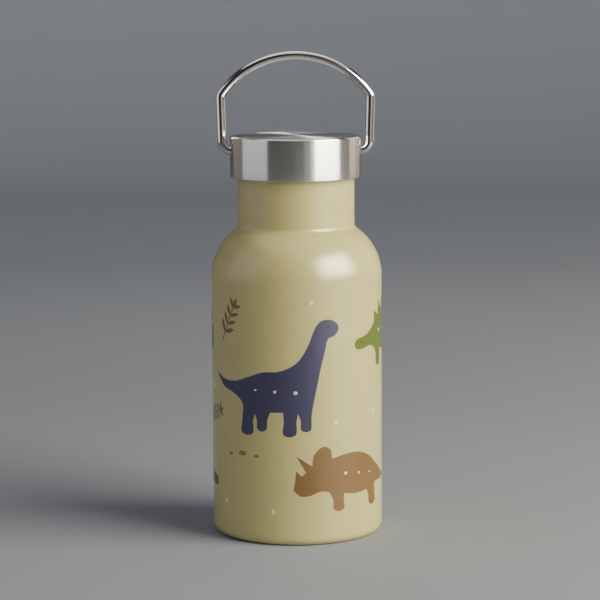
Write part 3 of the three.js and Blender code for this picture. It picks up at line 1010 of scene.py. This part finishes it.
def screen(name, azimuths, heights, color, strength):
    """A curved studio screen round the bottle, from one azimuth to another."""
    bm = bmesh.new()
    columns = []
    count = math.ceil((azimuths[1] - azimuths[0]) / 4)
    for i in range(count + 1):
        foot = direction(azimuths[0] + (azimuths[1] - azimuths[0]) * i / count, 0) * SCREEN_R
        columns.append([bm.verts.new((foot.x, foot.y, z)) for z in heights])
    for a, b in zip(columns, columns[1:]):
        bm.faces.new((a[0], b[0], b[1], a[1]))
    reflected_only(name, bm, color, strength)


def overhead():
    """A round screen above the bottle."""
    bm = bmesh.new()
    bmesh.ops.create_circle(bm, cap_ends=True, segments=48, radius=OVERHEAD_R,
                            matrix=Matrix.Translation((0, 0, OVERHEAD_Z)))
    reflected_only("overhead", bm, (1, 0.98, 0.95), 1.5)


def reflected_only(name, bm, color, strength):
    """Makes a glowing screen that only reflections see."""
    mesh = bpy.data.meshes.new(name)
    bm.to_mesh(mesh)
    bm.free()
    made = bpy.data.objects.new(name, mesh)
    bpy.context.scene.collection.objects.link(made)
    material = bpy.data.materials.new(name)
    material.use_nodes = True
    nodes = material.node_tree.nodes
    nodes.clear()
    glow = nodes.new("ShaderNodeEmission")
    glow.inputs["Color"].default_value = (*color, 1)
    glow.inputs["Strength"].default_value = strength
    output = nodes.new("ShaderNodeOutputMaterial")
    material.node_tree.links.new(glow.outputs[0], output.inputs["Surface"])
    mesh.materials.append(material)
    made.visible_camera = False
    made.visible_diffuse = False
    made.visible_shadow = False


def studio_floor():
    """A plain round floor that curves up into a backdrop all round, its colour painted paler away from the
    bottle where less light falls.
    """
    bm = bmesh.new()
    profile = [(0, 0), (FLOOR_R, 0)] + arc(FLOOR_R, COVE_R, COVE_R, -90, 0, 6)[1:]
    profile.append((FLOOR_R + COVE_R, WALL_TOP_Z))
    rings = []
    for r, z in profile:
        if r == 0:
            rings.append([bm.verts.new((0, 0, z))])
            continue
        angles = [TAU * i / FLOOR_SEGMENTS for i in range(FLOOR_SEGMENTS)]
        rings.append([bm.verts.new((r * math.sin(a), r * math.cos(a), z)) for a in angles])
    for lower, upper in zip(rings, rings[1:]):
        for k in range(FLOOR_SEGMENTS):
            quad = [lower[k % len(lower)], lower[(k + 1) % len(lower)]]
            quad += [upper[(k + 1) % FLOOR_SEGMENTS], upper[k]]
            bm.faces.new(list(dict.fromkeys(quad)))
    mesh = bpy.data.meshes.new("studio_floor")
    bm.to_mesh(mesh)
    bm.free()
    mesh.shade_smooth()
    floor = bpy.data.objects.new("studio_floor", mesh)
    bpy.context.scene.collection.objects.link(floor)
    shader = Shader("studio_floor", (0.315, 0.335, 0.4), 0.75)
    reach = shader.node("ShaderNodeVectorMath", operation="LENGTH")
    shader.link(shader.place, reach.inputs[0])
    # Painted light: the floor's colour runs from 0.85 times near the bottle to 1.4 times at the cove and
    # wall, a painted brightening where the lamps' light falls off.
    shader.shade(shader.spread(reach.outputs["Value"], 0.85, 1.4, 0.95, FLOOR_R))
    mesh.materials.append(shader.material)


def studio():
    world = bpy.data.worlds.new("studio")
    world.use_nodes = True
    world.node_tree.nodes["Background"].inputs["Color"].default_value = (0.8, 0.82, 0.87, 1)
    world.node_tree.nodes["Background"].inputs["Strength"].default_value = 0.03
    bpy.context.scene.world = world

    softbox("key", (66, 26, 1.0), (0.8, 0.8), 20, (1, 0.965, 0.75))
    softbox("fill", (-79, 35, 0.6), (0.5, 0.5), 0.56, (0.9, 0.88, 1))
    softbox("backdrop_light", (180, -20, 0.55), (1.2, 0.4), 1.6, (0.94, 0.96, 1),
            aim=(0, 0, 0.85), flip=True)
    # Each screen's name, azimuths, heights, colour and strength.
    for screen_values in (
        ("key_white", (35, 82), (0.33, 1.4), (1, 0.985, 0.86), 37),
        ("front_light", (26, 35), (0, 1.4), (1, 1, 0.96), 1.4),
        ("front_grey", (15, 26), (0, 1.4), (1, 0.98, 0.94), 0.36),
        ("front_mid", (-2, 15), (0, 1.4), (1, 0.93, 0.87), 0.1),
        ("front_dark", (-51, -2), (0, 1.4), (1, 0.92, 0.84), 0.045),
        ("fill_white", (-106, -51), (0, 1.3), (0.97, 0.96, 1), 1.2),
        ("left_tan", (-139, -107), (0, 1.1), (1, 0.86, 0.68), 0.33),
        ("left_dark", (-180, -139), (0, 0.3), (0.9, 0.9, 1), 0.08),
        ("right_taupe", (84, 108), (0, 1.1), (1, 0.86, 0.76), 0.25),
        ("right_beige", (108, 128), (0, 1.1), (1, 0.83, 0.66), 1.5),
        ("right_tan", (128, 147), (0, 1.1), (1, 0.88, 0.76), 0.8),
        ("right_grey", (147, 180), (0, 0.3), (1, 0.99, 0.99), 0.16),
        ("back_upper", (139, 221), (0.3, 1.4), (0.98, 0.99, 1), 0.14),
    ):
        screen(*screen_values)
    overhead()


camera()
studio_floor()
studio()
outer_shell()
outer_base()
inner_liner()
liner_base()
base_cover()
seal_bead()
getter()
cap_shell()
cap_core()
plug_disc()
foam_block()
gasket()
bail()
printed_shell()
